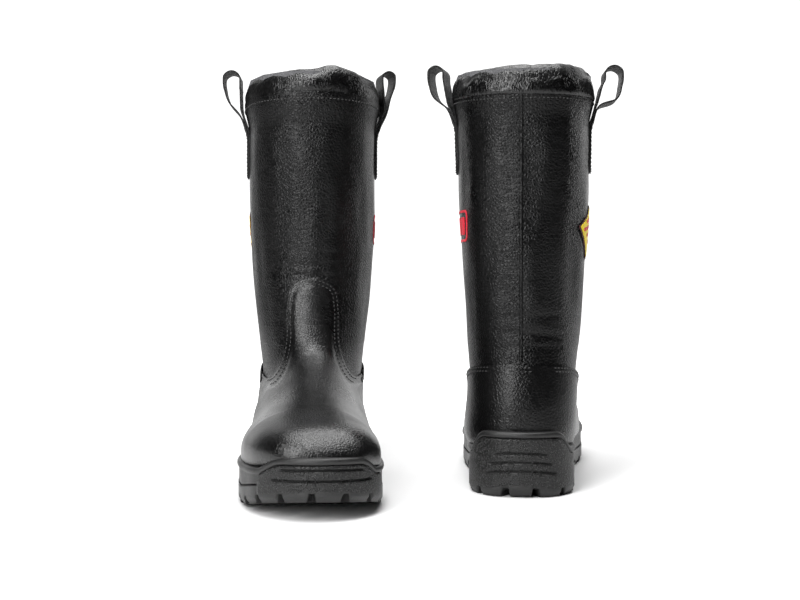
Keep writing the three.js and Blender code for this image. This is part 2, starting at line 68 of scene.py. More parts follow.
# %% Where each boot stands
MM = 0.001
hinges = {joint["name"]: Vector(joint["pos_m"]) for joint in record["behaviour"]["joints"] if "pos_m" in joint}


def boot_place(foot):
    outer, inner = hinges[f"{foot}_outer_loop_fold"], hinges[f"{foot}_inner_loop_fold"]
    side = (outer - inner).normalized()
    toe = Vector((0, 0, 1)).cross(side) * (1 if foot == "right" else -1)
    place = Matrix((side, toe, (0, 0, 1))).transposed().to_4x4()
    middle = (outer + inner) / 2
    place.translation = (middle.x, middle.y, 0)
    return place @ Matrix.Scale(MM, 4)


PLACE = {foot: boot_place(foot) for foot in FEET}
for foot in FEET:
    print(foot, "boot stands at", [round(c, 4) for c in PLACE[foot].translation])

# %% [markdown]
# A shoemaker pulls every layer of the upper over one last, so our layers share one too. The last is a fan of
# flat sections that starts level at the top of the leg and turns upright towards the toe. Each row holds the
# section's front point and back point, its half widths, where it is widest and how square its ends are. A
# smooth curve through the rows gives any section in between, and a depth moves a layer in or out.

# %% The last
#          front y, z   back y, z    outer, inner, widest, front and back curve
STATIONS = (
    (66, 333, -64, 326.2, 52.5, 52.5, 0, 2.2, 2.2),
    (66, 301, -64, 294.2, 52.5, 52.5, 0, 2.2, 2.2),
    (64, 252, -62, 249.8, 52, 52, 0, 2.15, 2.15),
    (60, 207, -61, 200.2, 51.3, 51.3, 0, 2.1, 2.1),
    (59, 166.5, -60, 150.8, 48.5, 48.5, 0, 2.1, 2.1),
    (62.5, 130.5, -61, 108, 45, 45, 0, 2.1, 2.1),
    (71, 108, -69, 62, 41.5, 41.5, -0.1, 2.1, 2.3),
    (84.4, 96, -60, 32.1, 43.5, 40.5, -0.2, 2, 2.8),
    (104.5, 86, -12.8, 30.3, 46, 41.5, -0.35, 1.9, 3.2),
    (128.8, 76, 50.1, 27.2, 47.5, 43.5, -0.45, 1.9, 3.6),
    (154.5, 69.6, 104.5, 24, 51.5, 46, -0.55, 2.1, 3.8),
    (178.3, 64, 149.7, 25, 47.5, 46, -0.5, 2.3, 3.6),
    (200.3, 57.6, 183.1, 29, 39, 42, -0.4, 2.4, 3.2),
    (212.6, 46.4, 206, 33, 22, 27, -0.1, 2.3, 2.6),
    (216, 37, 216, 37, 0, 0, 0, 2, 2),
)
TIP = len(STATIONS) - 1


def glide(rows, at):
    i = max(0, min(int(at), len(rows) - 2))
    f = at - i
    b, c = rows[i], rows[i + 1]
    a = rows[i - 1] if i else [2 * p - q for p, q in zip(b, c)]
    d = rows[i + 2] if i + 2 < len(rows) else [2 * q - p for p, q in zip(b, c)]
    return [
        q + f / 2 * (r - p + f * (2 * p - 5 * q + 4 * r - s + f * (3 * (q - r) + s - p)))
        for p, q, r, s in zip(a, b, c, d)
    ]


def ease(x, low, high):
    x = min(1, max(0, (x - low) / (high - low)))
    return x * x * (3 - 2 * x)


@functools.lru_cache(None)
def section(station):
    at = min(TIP, max(0, station))
    row = glide(STATIONS, at)
    ahead, behind = glide(STATIONS, min(TIP, at + 0.01)), glide(STATIONS, max(0, at - 0.01))
    tangent = [p - q for p, q in zip(ahead, behind)]
    turn = ease(at, TIP - 2, TIP)
    front = Vector((0, -tangent[1], tangent[0])).normalized().lerp(Vector((0, 1, 0)), turn).normalized()
    back = Vector((0, tangent[3], -tangent[2])).normalized().lerp(Vector((0, 1, 0)), turn).normalized()
    return Vector((0, row[0], row[1])), Vector((0, row[2], row[3])), front, back, row[4:]


def skin(station, angle, depth=0):
    front, back, front_out, back_out, (outer, inner, widest, crown, floor) = section(round(station, 4))
    cos, sin = math.cos(angle), math.sin(angle)
    power = crown if cos >= 0 else floor
    radius = (abs(cos) ** power + abs(sin) ** power) ** (-1 / power)
    half = max(0, outer if sin >= 0 else inner)
    level = widest + (1 - widest if cos >= 0 else 1 + widest) * radius * cos
    a, b = front - depth * front_out, back - depth * back_out
    point = (a + b) / 2 + (a - b) * (level / 2)
    point.x = (half - depth * min(1, half / 25)) * radius * sin - 4 * ease(station / TIP, 0.75, 1)
    return point


leg_width = 2 * skin(2, math.pi / 2).x
print("last: tip at", [round(c, 1) for c in skin(TIP, 0)], "leg is", round(leg_width, 1), "mm wide")

# %% [markdown]
# Worn leather is never a perfect tube. The leg has soft upright waves, it folds across the front just above
# the tongue and creases behind the ankle, and the steel cap pushes the toe up. One function gives how far the
# leather stands out of the last at a place, and every layer adds it, so that layers which lie on each other
# still do. Smooth noise is the same every time the script runs.

# %% How the leather drapes
FOLDS = {"right": 3.7, "left": 11.2}
#               height, slope, depth
SHIN_CREASES = ((166, 0.05, 0.9), (174, -0.07, 0.7), (185, 0.09, 0.5), (128, 0.03, 0.35))
ANKLE_CREASES = ((122, 0.08, 1.0), (134, -0.05, 0.7), (110, -0.04, 0.6))


def drape(foot, angle, point):
    x, y, z = point
    seed = FOLDS[foot]
    around = Vector((math.cos(angle) * 1.5, math.sin(angle) * 1.5, z / 120 + seed))
    leg = ease(z, 95, 150) * (1 - 0.75 * ease(z, 255, 300))
    out = leg * (2.6 * noise.noise(around) + 0.9 * noise.noise(around * 2.7))
    front = math.exp(-((angle / 0.75) ** 2))
    back = math.exp(-(((abs(angle) - math.pi) / 0.8) ** 2))
    for share, width, creases in ((front, 2.6, SHIN_CREASES), (back, 3.2, ANKLE_CREASES)):
        for level, tilt, depth in creases:
            out -= share * depth * math.exp(-(((z - level - tilt * x) / width) ** 2))
    if z < 110:
        over = ease(z, 42, 60)
        out += 1.1 * ease(y, 153, 163) * ease(z, 30, 50)
        out += 0.8 * over * noise.noise(Vector((x / 26, y / 26, seed)))
    return out


FLARE = 4.0  # the padding also pushes out the leather just under the collar


def leather_point(foot, station, angle, depth):
    point = skin(station, angle, depth)
    flare = FLARE * ease(point.z, 284, 309)
    return skin(station, angle, depth - drape(foot, angle, point) - flare)


print("drape at the shin:", round(drape("right", 0, skin(3, 0)), 2), "mm")

# %% [markdown]
# A tube of leather starts as a flat grid whose columns become angles and whose rows become stations. The
# grid's two sides meet at the back of the leg, where the real leather is sewn shut. The piece is then trimmed
# along its pattern line: each edge that crosses the line is split there, the new corners are joined, and what
# lies outside is deleted. The same could be done with a boolean, but a split keeps the mesh clean.


# %% Wrap a grid and trim it
def sheet(columns, rows, half=0.5):
    bm = bmesh.new()
    bmesh.ops.create_grid(bm, x_segments=columns, y_segments=rows, size=half)
    return bm


def wrapped(foot, stations, columns, rows, depth):
    bm = sheet(columns, rows)
    first, last = stations
    for vert in bm.verts:
        station = first + (0.5 - vert.co.y) * (last - first)
        vert.co = leather_point(foot, station, -2 * math.pi * vert.co.x, depth)
    bmesh.ops.remove_doubles(bm, verts=bm.verts, dist=0.01)
    return bm


def trim(bm, side):
    height = {vert: side(vert.co) for vert in bm.verts}
    for edge in list(bm.edges):
        a, b = edge.verts
        if height[a] * height[b] < 0:
            _, new = bmesh.utils.edge_split(edge, a, height[a] / (height[a] - height[b]))
            height[new] = 0
    line = [vert for vert, h in height.items() if h == 0]
    bmesh.ops.connect_verts(bm, verts=line)
    outside = [face for face in bm.faces if side(face.calc_center_median()) < 0]
    bmesh.ops.delete(bm, geom=outside, context="FACES")
    bmesh.ops.remove_doubles(bm, verts=bm.verts, dist=0.05)


def smooth_line(points, parts, step):
    curve = [Vector(glide(points, i / parts)) for i in range(parts * (len(points) - 1) + 1)]
    line = curve[:1]
    for point in curve:
        if (point - line[-1]).length >= step:
            line.append(point)
    return line


class Pattern:
    """A smooth cutting line through points. side() is how far a point lies to the left of it."""

    def __init__(self, points):
        self.line = smooth_line(points, 40, 0.5)
        self.tree = KDTree(len(self.line))
        for i, point in enumerate(self.line):
            self.tree.insert((point.x, point.y, 0), i)
        self.tree.balance()

    def left_of(self, i):
        along = self.line[min(i + 1, len(self.line) - 1)] - self.line[max(i - 1, 0)]
        return Vector((-along.y, along.x)).normalized()

    def side(self, a, b):
        _, i, _ = self.tree.find((a, b, 0))
        return (Vector((a, b)) - self.line[i]).dot(self.left_of(i))

    def moved(self, distance, every=4):
        return [self.line[i] + self.left_of(i) * distance for i in range(0, len(self.line), every)]


# %% [markdown]
# Two patterns shape the upper. The vamp's line is drawn as seen from the front: it starts at the side seam,
# dips under the ankle, climbs the tongue and comes down the other side. The heel patch's line is drawn as
# seen from the side. They are kept with the lowest part of the leather, which the sole hides.

# %% The cutting patterns
half_tongue = [(60, 96), (47.5, 89), (40.5, 83), (32.5, 86), (25.5, 98), (22, 115), (21.8, 140), (17.4, 157)]
TONGUE = Pattern(half_tongue + [(0, 164)] + [(-x, z) for x, z in reversed(half_tongue)])
PATCH = Pattern([(30, 74), (12, 81), (-25, 91), (-50, 97), (-90, 99)])
SIDE_SEAM = 12
LAP = 10  # leather hidden under a sewn edge
OVERLAY = -2.3  # how far the vamp and the patch stand out of the leg


def hem(point):  # keeps what the sole's rim doesn't hide, and a little more
    return point.z - (28 if point.y < 0 else 21 + 7 * ease(-point.y, -60, 0))


def keep_leg(point):
    edge = TONGUE.side(point.x, point.z) if point.y > SIDE_SEAM else PATCH.side(point.y, point.z)
    return min(LAP - edge, 120) if point.z < 190 else 20


def keep_vamp(point):
    return min(TONGUE.side(point.x, point.z), point.y - SIDE_SEAM - 0.2)


def keep_patch(point):
    return min(PATCH.side(point.y, point.z), SIDE_SEAM + 1.5 - point.y)


print("tongue line:", len(TONGUE.line), "points; patch line:", len(PATCH.line), "points")

# %% [markdown]
# Every finish is made of shader nodes, and an effect that several finishes share is a node group, built once.
# All of them read Object coordinates, which are the same as world coordinates here because every object sits
# at the origin, so a pattern runs on from piece to piece. A few helpers keep the building of nodes short.


# %% Helpers for shader nodes
def group(name, inputs, outputs):
    tree = bpy.data.node_groups.new(name, "ShaderNodeTree")
    for socket, kind, default in inputs:
        made = tree.interface.new_socket(socket, in_out="INPUT", socket_type=kind)
        if default is not None:
            made.default_value = default
    for socket, kind in outputs:
        tree.interface.new_socket(socket, in_out="OUTPUT", socket_type=kind)
    return tree, tree.nodes.new("NodeGroupInput").outputs, tree.nodes.new("NodeGroupOutput").inputs


def add(tree, kind, links=(), **values):
    node = tree.nodes.new(kind)
    for key, value in values.items():
        setattr(node, key, value)
    for socket, source in links:
        if hasattr(source, "is_linked"):
            tree.links.new(source, node.inputs[socket])
        else:
            node.inputs[socket].default_value = source
    return node


def maths(tree, operation, *sources):
    node = add(tree, "ShaderNodeMath", list(enumerate(sources)), operation=operation)
    return node.outputs[0]


def spread(tree, value, low, high, to_low=0.0, to_high=1.0):
    links = [("Value", value), (1, low), (2, high), (3, to_low), (4, to_high)]
    return add(tree, "ShaderNodeMapRange", links, interpolation_type="SMOOTHSTEP").outputs[0]


def noisy(tree, vector, scale, detail):
    links = [("Vector", vector), ("Scale", scale), ("Detail", detail)]
    return add(tree, "ShaderNodeTexNoise", links).outputs


FLOAT, VECTOR = "NodeSocketFloat", "NodeSocketVector"
print("helpers for node trees are ready")

# %% [markdown]
# A tanned hide is covered with pebbles a millimetre or two across, parted by fine valleys. A Voronoi texture's
# distance to the cell edge gives just that: low in the valleys and high on the pebbles. Real pebbles aren't
# straight sided, so the place that is looked up is first pulled about by noise, and a much finer noise on top
# gives each pebble its pores. A displacement could do the same, but at this size a bump looks no different.

# %% Grain: the pebbles of a hide
GRAIN, g_in, g_out = group(
    "pebbled grain",
    [("Vector", VECTOR, None), ("Pebble", FLOAT, 1.5), ("Fineness", FLOAT, 0.35)],
    [("Height", FLOAT)],
)
per_mm = maths(GRAIN, "DIVIDE", 1000.0, g_in["Pebble"])
pull = noisy(GRAIN, g_in["Vector"], 260.0, 2.0)["Color"]
shift = add(
    GRAIN,
    "ShaderNodeVectorMath",
    [(0, pull), (1, (0.0011, 0.0011, 0.0011)), (2, g_in["Vector"])],
    operation="MULTIPLY_ADD",
)
cells = add(
    GRAIN,
    "ShaderNodeTexVoronoi",
    [("Vector", shift.outputs[0]), ("Scale", per_mm), ("Randomness", 0.95)],
    feature="DISTANCE_TO_EDGE",
)
pebble = spread(GRAIN, cells.outputs["Distance"], 0.0, 0.34)
pores = noisy(GRAIN, g_in["Vector"], 2600.0, 3.0)["Fac"]
pore_part = maths(GRAIN, "MULTIPLY", pores, g_in["Fineness"])
GRAIN.links.new(maths(GRAIN, "ADD", pebble, pore_part), g_out["Height"])
print(GRAIN.name, "has", len(GRAIN.nodes), "nodes")

# %% [markdown]
# Nothing that is worn stays one even colour. Handling rubs some places lighter and dulls others, in clouds a
# few centimetres wide that are broken up by specks. The group multiplies a large noise by a small one for the
# mask that mixes two shades, and hands out the large one as well, so that roughness changes with the clouds.

# %% Wear: rubbed and dusty places
WEAR, w_in, w_out = group(
    "soft wear",
    [("Vector", VECTOR, None), ("Size", FLOAT, 30.0), ("Amount", FLOAT, 0.5)],
    [("Mask", FLOAT), ("Cloud", FLOAT)],
)
size = maths(WEAR, "DIVIDE", 1000.0, w_in["Size"])
clouds = noisy(WEAR, w_in["Vector"], size, 5.0)["Fac"]
specks = noisy(WEAR, w_in["Vector"], 900.0, 2.0)["Fac"]
rubbed = spread(WEAR, maths(WEAR, "MULTIPLY", clouds, specks), 0.24, 0.42)
WEAR.links.new(maths(WEAR, "MULTIPLY", rubbed, w_in["Amount"]), w_out["Mask"])
WEAR.links.new(clouds, w_out["Cloud"])
print(WEAR.name, "has", len(WEAR.nodes), "nodes")

# %% [markdown]
# Knit and thread are regular, so their group multiplies two sine waves, one round the piece and one up it, and
# the crossings stand up as loops of yarn. The guards of the sole are moulded with small dots instead. Those are
# the middles of Voronoi cells, raised and levelled off, which gives an even but not a regular pattern.

# %% Weave and stipple
WEAVE, v_in, v_out = group(
    "close weave", [("Vector", VECTOR, None), ("Pitch", FLOAT, 1.2)], [("Height", FLOAT)]
)
turns = maths(WEAVE, "DIVIDE", 2000 * math.pi, v_in["Pitch"])
place = add(WEAVE, "ShaderNodeSeparateXYZ", [("Vector", v_in["Vector"])])
flat = maths(WEAVE, "ADD", place.outputs["X"], place.outputs["Y"])
across = maths(WEAVE, "SINE", maths(WEAVE, "MULTIPLY", flat, turns))
upward = maths(WEAVE, "SINE", maths(WEAVE, "MULTIPLY", place.outputs["Z"], turns))
WEAVE.links.new(spread(WEAVE, maths(WEAVE, "MULTIPLY", across, upward), -1.0, 1.0), v_out["Height"])

STIPPLE, s_in, s_out = group("stipple", [("Vector", VECTOR, None), ("Dot", FLOAT, 1.0)], [("Height", FLOAT)])
dots = add(
    STIPPLE,
    "ShaderNodeTexVoronoi",
    [("Vector", s_in["Vector"]), ("Scale", maths(STIPPLE, "DIVIDE", 1000.0, s_in["Dot"]))],
)
STIPPLE.links.new(spread(STIPPLE, dots.outputs["Distance"], 0.1, 0.55, 1.0, 0.0), s_out["Height"])
print("node groups:", [tree.name for tree in bpy.data.node_groups])

# %% [markdown]
# One function builds a finish: a dark and a light shade mixed by the wear mask, a roughness that moves with
# it, and a bump whose height comes from grain, weave or stipple. Where asked, the bump's high points are
# also mixed towards the light shade, a painted highlight added to the wear. The leg has the coarsest grain.
# The vamp is the same hide pulled tight over the last, so its pebbles are flatter and its shine is higher.


# %% Build a finish
def finish_of(
    name, dark, light, rough, bump=None, depth=0.3, metal=0.0, coat=0.0,
    wear=0.5, size=30.0, tall=1.0, painted_top_highlight=0.0, shine=0.5,
):
    made = bpy.data.materials.new(name)
    made.use_nodes = True
    tree = made.node_tree
    shader = tree.nodes["Principled BSDF"]
    coordinates = add(tree, "ShaderNodeTexCoord").outputs["Object"]
    links = [("Vector", coordinates), ("Size", size), ("Amount", wear)]
    worn = add(tree, "ShaderNodeGroup", links, node_tree=WEAR)
    shade = add(tree, "ShaderNodeMix", data_type="RGBA")
    shade.inputs[6].default_value, shade.inputs[7].default_value = (*dark, 1), (*light, 1)
    tree.links.new(worn.outputs["Mask"], shade.inputs[0])
    tree.links.new(shade.outputs[2], shader.inputs["Base Color"])
    low, high = rough
    tree.links.new(spread(tree, worn.outputs["Cloud"], 0.3, 0.7, low, high), shader.inputs["Roughness"])
    plain = {"Metallic": metal, "Specular IOR Level": shine, "Coat Weight": coat, "Coat Roughness": 0.3}
    for socket, value in plain.items():
        shader.inputs[socket].default_value = value
    if bump:
        kind, values = bump
        drawn_out = add(tree, "ShaderNodeMapping", [("Vector", coordinates), ("Scale", (1.0, 1.0, 1 / tall))])
        links = [("Vector", drawn_out.outputs[0]), *values.items()]
        pattern = add(tree, "ShaderNodeGroup", links, node_tree=kind)
        lifted = add(tree, "ShaderNodeBump", [("Height", pattern.outputs["Height"]), ("Distance", depth * MM)])
        tree.links.new(lifted.outputs[0], shader.inputs["Normal"])
        # painted highlight: the pattern's high points are mixed towards the light shade, on top of the wear
        # mask
        if painted_top_highlight:
            highlighted_tops = maths(tree, "MULTIPLY", pattern.outputs["Height"], painted_top_highlight)
            tree.links.new(maths(tree, "ADD", worn.outputs["Mask"], highlighted_tops), shade.inputs[0])
    return made


# %% [markdown]
# Here are the finishes themselves. Black leather is black because it scatters almost nothing, so its shades
# are close to zero and what is seen is its shine. That is lower on the leg, where the wax is thin, and higher
# on the vamp and the collar, which are smoothed in making. Rubber is a little lighter and much duller, and the
# hollows of the sole get painted shade: a nearly black finish, because little light gets out of them.

# %% The finishes
BLACK = (0.0015, 0.0015, 0.0016)
GREY = (0.005, 0.005, 0.0052)
COARSE, MIDDLING, FINE, CLOSE = [(GRAIN, {"Pebble": pebble}) for pebble in (2.4, 2.0, 1.2, 0.8)]
LEG = finish_of("leg leather", BLACK, GREY, (0.27, 0.36), COARSE, 0.24, shine=0.24)
VAMP = finish_of("vamp leather", BLACK, GREY, (0.26, 0.36), MIDDLING, 0.12, coat=0.12, shine=0.42)
PATCH_LEATHER = finish_of("heel leather", BLACK, GREY, (0.27, 0.36), COARSE, 0.16, coat=0.05, shine=0.28)
SOFT = finish_of("collar leather", BLACK, GREY, (0.25, 0.34), MIDDLING, 0.17, tall=2.2, shine=0.45)
STRAP = finish_of("strap", BLACK, (0.02, 0.02, 0.02), (0.45, 0.6), FINE, 0.25, shine=0.35)
# the thread's own near-black is lightened so the stitch rows show as bright specks: its colour plus a painted
# highlight
STITCH_AND_GLINT_TONES = (0.03, 0.03, 0.03), (0.07, 0.07, 0.07)
STITCH_AND_GLINT = finish_of("thread", *STITCH_AND_GLINT_TONES, (0.3, 0.4), (WEAVE, {"Pitch": 0.5}), 0.1)
YARN = (0.02, 0.02, 0.02), (0.05, 0.05, 0.05)
KNIT = finish_of("lining knit", *YARN, (0.85, 0.95), (WEAVE, {"Pitch": 1.8}), 0.5)
SMOOTH = (0.009, 0.009, 0.009), (0.022, 0.022, 0.022)
RUBBER = finish_of("smooth rubber", *SMOOTH, (0.4, 0.55), CLOSE, 0.05)
DOTTED = (0.008, 0.008, 0.008), (0.04, 0.04, 0.04)
# the guard's raised dots are painted lighter, a painted highlight, besides their real wear
GUARD = finish_of("stippled rubber", *DOTTED, (0.4, 0.55), (STIPPLE, {"Dot": 1.6}), 0.9, painted_top_highlight=0.6, shine=0.4)
DUSTY = (0.06, 0.055, 0.05)
TREAD = finish_of("tread rubber", SMOOTH[0], DUSTY, (0.6, 0.8), (STIPPLE, {"Dot": 0.8}), 0.15, size=12)
# painted shade: near-black tones for rubber deep in the grooves and hollows, where little light gets out
SHADE_TONES = (0.002, 0.002, 0.002), (0.006, 0.006, 0.006)
PAINTED_SHADE = finish_of("painted shade in grooves", *SHADE_TONES, (0.7, 0.85), CLOSE, 0.05)
METAL = (0.4, 0.41, 0.42), (0.55, 0.55, 0.55)
STEEL = finish_of("plain steel", *METAL, (0.28, 0.42), (GRAIN, {"Pebble": 3.0}), 0.02, metal=1)
FIBRE = (0.33, 0.27, 0.18), (0.46, 0.4, 0.3)
BOARD = finish_of("fibre board", *FIBRE, (0.8, 0.92), CLOSE, 0.1)
MATTED = (0.09, 0.09, 0.095), (0.16, 0.16, 0.165)
FELT = finish_of("foam and felt", *MATTED, (0.9, 0.97), (STIPPLE, {"Dot": 0.8}), 0.3)
PRINT = CLOSE, 0.05
YELLOW = finish_of("yellow badge", (0.9, 0.68, 0.006), (0.95, 0.78, 0.03), (0.4, 0.55), *PRINT)
DARK_RED = finish_of("dark red edge", (0.05, 0.004, 0.004), (0.09, 0.012, 0.01), (0.45, 0.55), *PRINT)
RED = finish_of("red print", (0.6, 0.01, 0.03), (0.7, 0.04, 0.06), (0.45, 0.6), *PRINT)
print("finishes:", len(bpy.data.materials))

# %% [markdown]
# A piece is finished in one place: its mesh is moved from the boot's frame to the room, its faces are turned
# if the boot is a mirror image, and it rides on its body. Leather gets its thickness from a Solidify modifier
# that grows inwards, and a Bevel rounds the cut edge. Both stay live, so the mesh itself remains a thin sheet.


# %% Put a piece in place
def stand(name, data):
    made = bpy.data.objects.new(name, data)
    bpy.context.scene.collection.objects.link(made)
    return made


def put(bm, foot, name, finishes, body=None, nodes=(), smooth=True):
    mesh = bpy.data.meshes.new(f"{foot}_{name}")
    bm.to_mesh(mesh)
    mesh.transform(PLACE[foot])
    if foot == "left":
        mesh.flip_normals()
    mesh.shade_smooth() if smooth else mesh.shade_flat()
    for made in finishes if isinstance(finishes, list) else [finishes]:
        mesh.materials.append(made)
    piece = stand(f"{foot}_{name}_piece", mesh)
    if nodes:
        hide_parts(*[f"{foot}_{node}" for node in nodes])
    if body is not False:
        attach(piece, body or f"{foot}_boot")
    return piece


def thicken(piece, thickness, edge=0.5):
    wall = piece.modifiers.new("thickness", "SOLIDIFY")
    wall.thickness, wall.offset = thickness * MM, -1
    wall.use_even_offset = True
    wall.thickness_clamp = 1
    rounded = piece.modifiers.new("rounded edge", "BEVEL")
    rounded.width, rounded.segments, rounded.limit_method = edge * MM, 2, "ANGLE"
    rounded.angle_limit = math.radians(50)
    rounded.harden_normals = False
    return piece


def tell(piece, *more):
    evaluated = piece.evaluated_get(bpy.context.evaluated_depsgraph_get())
    count = sum(len(polygon.vertices) - 2 for polygon in evaluated.data.polygons)
    print(piece.name, count, "triangles", *more)


# %% [markdown]
# The leg, the vamp and the heel patch are three trims of the same wrapped grid, at two depths. The trees that
# answer "where does this ray hit the leather?" are kept for later: the threads, the badge and the sole's rim
# are all laid on the leather with them.

# %% The leg, the vamp and the heel patch
leather = {}
for foot in FEET:
    cuts = {
        "leg": (wrapped(foot, (0.7, 7.4), 170, 190, 0), keep_leg, LEG, "leg_leather", 2.2),
        "vamp": (wrapped(foot, (3.6, TIP), 190, 210, OVERLAY), keep_vamp, VAMP, "vamp", 2.0),
        "patch": (
            wrapped(foot, (4.6, 9.5), 170, 90, OVERLAY - 0.25), keep_patch, PATCH_LEATHER, "heel_patch", 2.0
        ),
    }
    for name, (bm, keep, made, node, thickness) in cuts.items():
        trim(bm, keep)
        if name != "leg":
            trim(bm, hem)
        bmesh.ops.smooth_vert(bm, verts=[v for v in bm.verts if not v.is_boundary], factor=0.3)
        bm.normal_update()
        for vert in bm.verts if name == "vamp" else ():
            margin = TONGUE.side(vert.co.x, vert.co.z)
            vert.co += vert.normal * (ease(margin, 5.4, 7.2) - 0.7) * ease(vert.co.z, 70, 80)
        leather[foot, name] = BVHTree.FromBMesh(bm)
        piece = thicken(put(bm, foot, name, made, nodes=[node]), thickness, 0.8)
        bm.free()
        tell(piece)

# %% [markdown]
# The collar is a band of soft leather folded over foam and sewn down at both edges, so it is a closed ring
# with a fat rounded section. We draw its section once as a closed curve of depths and stations, and sweep it
# round the leg as a grid whose rows also meet. The top edge isn't level: it dips and rises as it would on a
# boot that has been worn.

# %% Sweep the collar
ROLL = [(-3.3, 0.79), (-4.9, 0.7), (-5.7, 0.52), (-4.7, 0.31), (-2.3, 0.13), (1.2, 0.02), (4.8, 0.04)]
ROLL += [(7.3, 0.28), (7.8, 0.6), (2.5, 0.8)]
COLLAR_TOP = {  # rises and dips of the top edge: the angle of the middle, the width, the height
    "right": ((-0.33, 0.3, 3.6), (0.6, 0.5, -0.6), (0, 9, -2.0)),
    "left": ((-2.5, 0.5, 1.4), (2.9, 0.7, -0.8), (0, 9, -1.0)),
}


def closed(points, share):
    return glide(points[-1:] + points + points[:2], 1 + share % 1 * len(points))


def collar_point(foot, angle, share):
    depth, station = closed(ROLL, share)
    point = skin(station, angle, depth - drape(foot, angle, skin(1, angle)))
    high = 1 - ease(station, 0, 0.9)
    for middle, width, height in COLLAR_TOP[foot]:
        turned = (angle - middle + math.pi) % (2 * math.pi) - math.pi
        point.z += high * height * math.exp(-((turned / width) ** 2))
    around = Vector((math.cos(angle) * 5, math.sin(angle) * 5, FOLDS[foot]))
    point.z += high * 1.3 * noise.noise(around * 0.5)
    top = high * ease(-depth, -6, 1)
    pucker = noise.noise(around * 3.4 + Vector((0, 0, station)))
    crease = noise.noise(around * 0.9 + Vector((0, 0, station * 2.2)))
    ripple = 0.55 * pucker * (0.25 + top) + 1.3 * crease * (1 - abs(2 * station - 1)) * (depth < 4)
    return point + Vector((math.sin(angle), math.cos(angle), 0)) * ripple + Vector((0, 0, 0.5 * top * pucker))


def swept_collar(foot, columns=220, rows=52):
    bm = sheet(columns, rows)
    for vert in bm.verts:
        vert.co = collar_point(foot, -2 * math.pi * vert.co.x, 0.5 - vert.co.y)
    bmesh.ops.remove_doubles(bm, verts=bm.verts, dist=0.05)
    print(foot, "collar ring, open edges:", sum(edge.is_boundary for edge in bm.edges))
    return bm


# %% [markdown]
# A pad only looks soft when its skin has pushed out against its seams. So the ring is blown up a little as
# cloth that is slightly too big for it: air inside presses outwards, the two sewn edges are pinned, and the
# spare leather buckles into folds. How far a point may move is limited, because the loops stand close by.

# %% Blow the collar up
SPARE = 0.05  # the cloth is this much larger than its drawn shape
REACH = 2.2  # millimetres that a point may move
LAST_FRAME = 20


def puff(piece):
    mesh = piece.data
    drawn = [vert.co.copy() for vert in mesh.vertices]
    sewn = piece.vertex_groups.new(name="sewn")
    seam = min(point.z for point in drawn) + 5 * MM
    for i, point in enumerate(drawn):
        if point.z < seam:
            sewn.add([i], 1, "REPLACE")
    air = piece.modifiers.new("air", "CLOTH")
    cloth = air.settings
    cloth.quality, cloth.mass = 6, 0.05
    cloth.tension_stiffness = cloth.compression_stiffness = 12
    cloth.shear_stiffness, cloth.bending_stiffness = 6, 0.02
    cloth.use_pressure, cloth.uniform_pressure_force = True, 4
    cloth.shrink_min = -SPARE
    cloth.vertex_group_mass = "sewn"
    cloth.effector_weights.gravity = 0
    air.point_cache.frame_start, air.point_cache.frame_end = 1, LAST_FRAME
    scene = bpy.context.scene
    for number in range(1, LAST_FRAME + 1):
        scene.frame_set(number)
    blown = piece.evaluated_get(bpy.context.evaluated_depsgraph_get()).data
    moved = [blown.vertices[i].co - point for i, point in enumerate(drawn)]
    piece.modifiers.remove(air)
    piece.vertex_groups.remove(sewn)
    furthest = max(step.length for step in moved)
    for vert, step in zip(mesh.vertices, moved):
        if step.length > REACH * MM:
            step = step.normalized() * REACH * MM
        vert.co += step
    scene.frame_set(1)
    mean = sum(step.length for step in moved) / len(moved)
    print(piece.name, "moved", round(mean / MM, 2), "mm on average,", round(furthest / MM, 2), "mm at most")


# %% [markdown]
# The simulation leaves creases as fine as the grid, which make leather look like foil. A few light smoothings
# of the mesh take those away and keep the soft folds, and one subdivision rounds what is left. The finished
# collar also gets a tree for rays, because the back seam is laid over it.

# %% The collars
CREASE_SMOOTHINGS = 5
for foot in FEET:
    bm = swept_collar(foot)
    collar = put(bm, foot, "collar", SOFT, nodes=["collar_cover"])
    puff(collar)
    bm.clear()
    bm.from_mesh(collar.data)
    for _ in range(CREASE_SMOOTHINGS):
        bmesh.ops.smooth_vert(
            bm, verts=bm.verts[:], factor=0.5, use_axis_x=True, use_axis_y=True, use_axis_z=True
        )
    bm.to_mesh(collar.data)
    bm.transform(PLACE[foot].inverted())
    leather[foot, "collar"] = BVHTree.FromBMesh(bm)
    bm.free()
    finer = collar.modifiers.new("smooth", "SUBSURF")
    finer.levels = finer.render_levels = 1
    tell(collar)

# %% [markdown]
# Inside the leg there is a knitted lining, a closed sock from the collar down to the toes. It is the same
# wrapped grid as the leg at a greater depth, so it follows each fold of the leather that it is glued to.

# %% The lining
for foot in FEET:
    bm = wrapped(foot, (0.6, TIP), 150, 150, 2.9)
    lining = thicken(put(bm, foot, "lining", KNIT, nodes=["lining"]), 1.8, 0.3)
    bm.free()
    tell(lining)

# %% [markdown]
# A point on the finished leather is found by casting a ray at it. The nearest hit counts, so a ray from
# outside lands on whichever layer is on top. The back seam is laid on in this way: a narrow ridge down the
# middle of the back, proud in the middle and sunk at its edges, as if a strip were sewn over the join.


# %% Rays, and the back seam
def on_leather(foot, start, towards, names=("leg", "vamp", "patch")):
    hits = [leather[foot, name].ray_cast(Vector(start), Vector(towards).normalized()) for name in names]
    return min((hit for hit in hits if hit[0]), key=lambda hit: hit[3], default=(None, None, None, None))


def on_leg(foot, sign, y, z):
    return on_leather(foot, (sign * 200, y, z), (-sign, 0, 0), ("leg",))[0]


